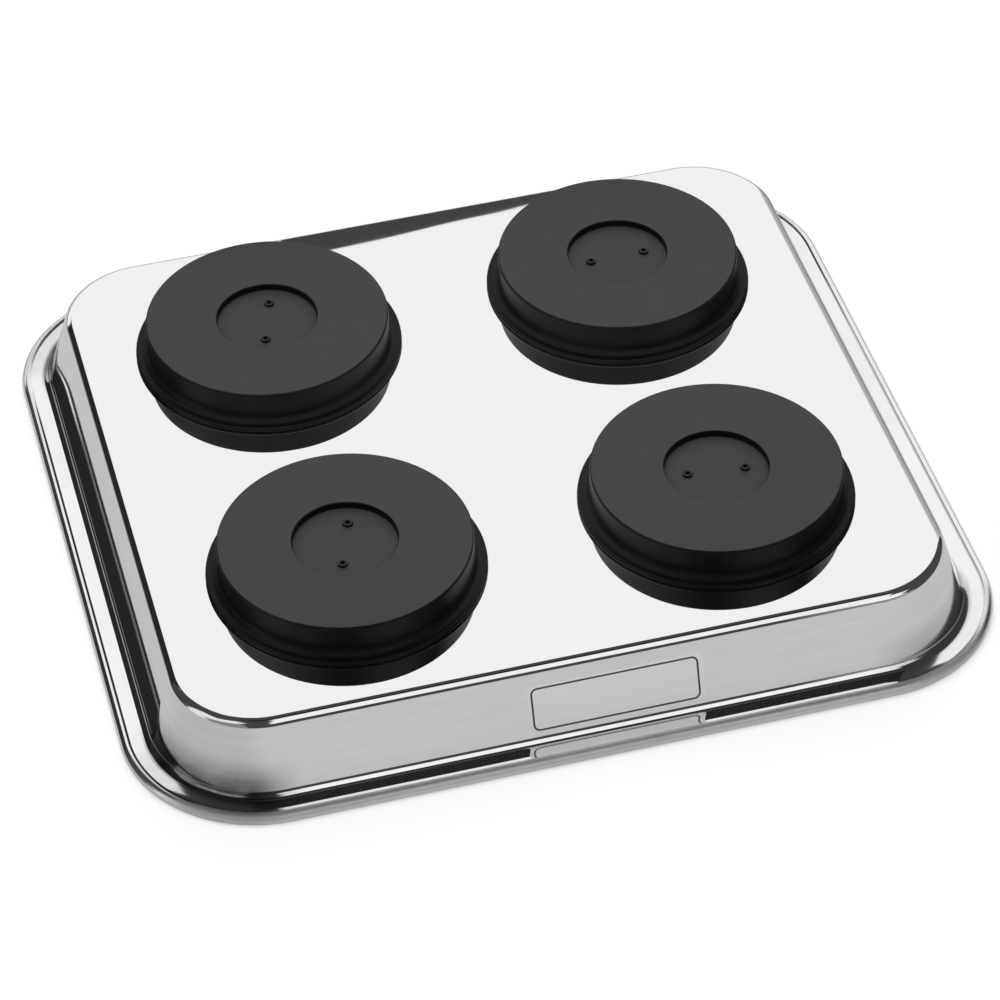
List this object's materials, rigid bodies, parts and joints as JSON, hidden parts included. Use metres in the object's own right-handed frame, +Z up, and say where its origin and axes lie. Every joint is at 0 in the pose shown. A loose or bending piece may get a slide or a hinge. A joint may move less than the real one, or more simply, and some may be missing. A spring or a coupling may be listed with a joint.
{
  "type": "magnetic parts tray",
  "caption": "Rectangular stainless steel parts tray with sloped walls and a rolled rim, lying upside down to show the rubber-covered ring magnet pads under its base.",
  "frame": {"origin": "middle of the plane that the rolled rim stands on, with the tray upside down as in the picture", "axes": "+Z up, out through the pad faces; +X along the long side, to the right of the labelled front wall; +Y to the back. Turn the part by 180 degrees about X to use it as a tray."},
  "size_m": [0.28, 0.26, 0.04],
  "materials": {
    "stainless_steel": "mirror-polished, with fine scratches and smudges",
    "black_rubber": "moulded, satin matte",
    "ferrite": "sintered, ground faces",
    "plain_steel": "cold-rolled",
    "zinc_steel": "zinc plated",
    "label_film": "silver film with a printed border"
  },
  "bodies": {
    "root": {"tray_pan": "stainless_steel", "blank_label": "label_film", "boot_front_left": "black_rubber", "boot_front_right": "black_rubber", "boot_rear_left": "black_rubber", "boot_rear_right": "black_rubber", "magnet_front_left": "ferrite", "magnet_front_right": "ferrite", "magnet_rear_left": "ferrite", "magnet_rear_right": "ferrite", "plate_front_left": "plain_steel", "plate_front_right": "plain_steel", "plate_rear_left": "plain_steel", "plate_rear_right": "plain_steel", "spacer_front_left": "plain_steel", "spacer_front_right": "plain_steel", "spacer_rear_left": "plain_steel", "spacer_rear_right": "plain_steel", "stud_front_left": "zinc_steel", "stud_front_right": "zinc_steel", "stud_rear_left": "zinc_steel", "stud_rear_right": "zinc_steel", "nut_front_left": "zinc_steel", "nut_front_right": "zinc_steel", "nut_rear_left": "zinc_steel", "nut_rear_right": "zinc_steel"}
  },
  "joints": []
}
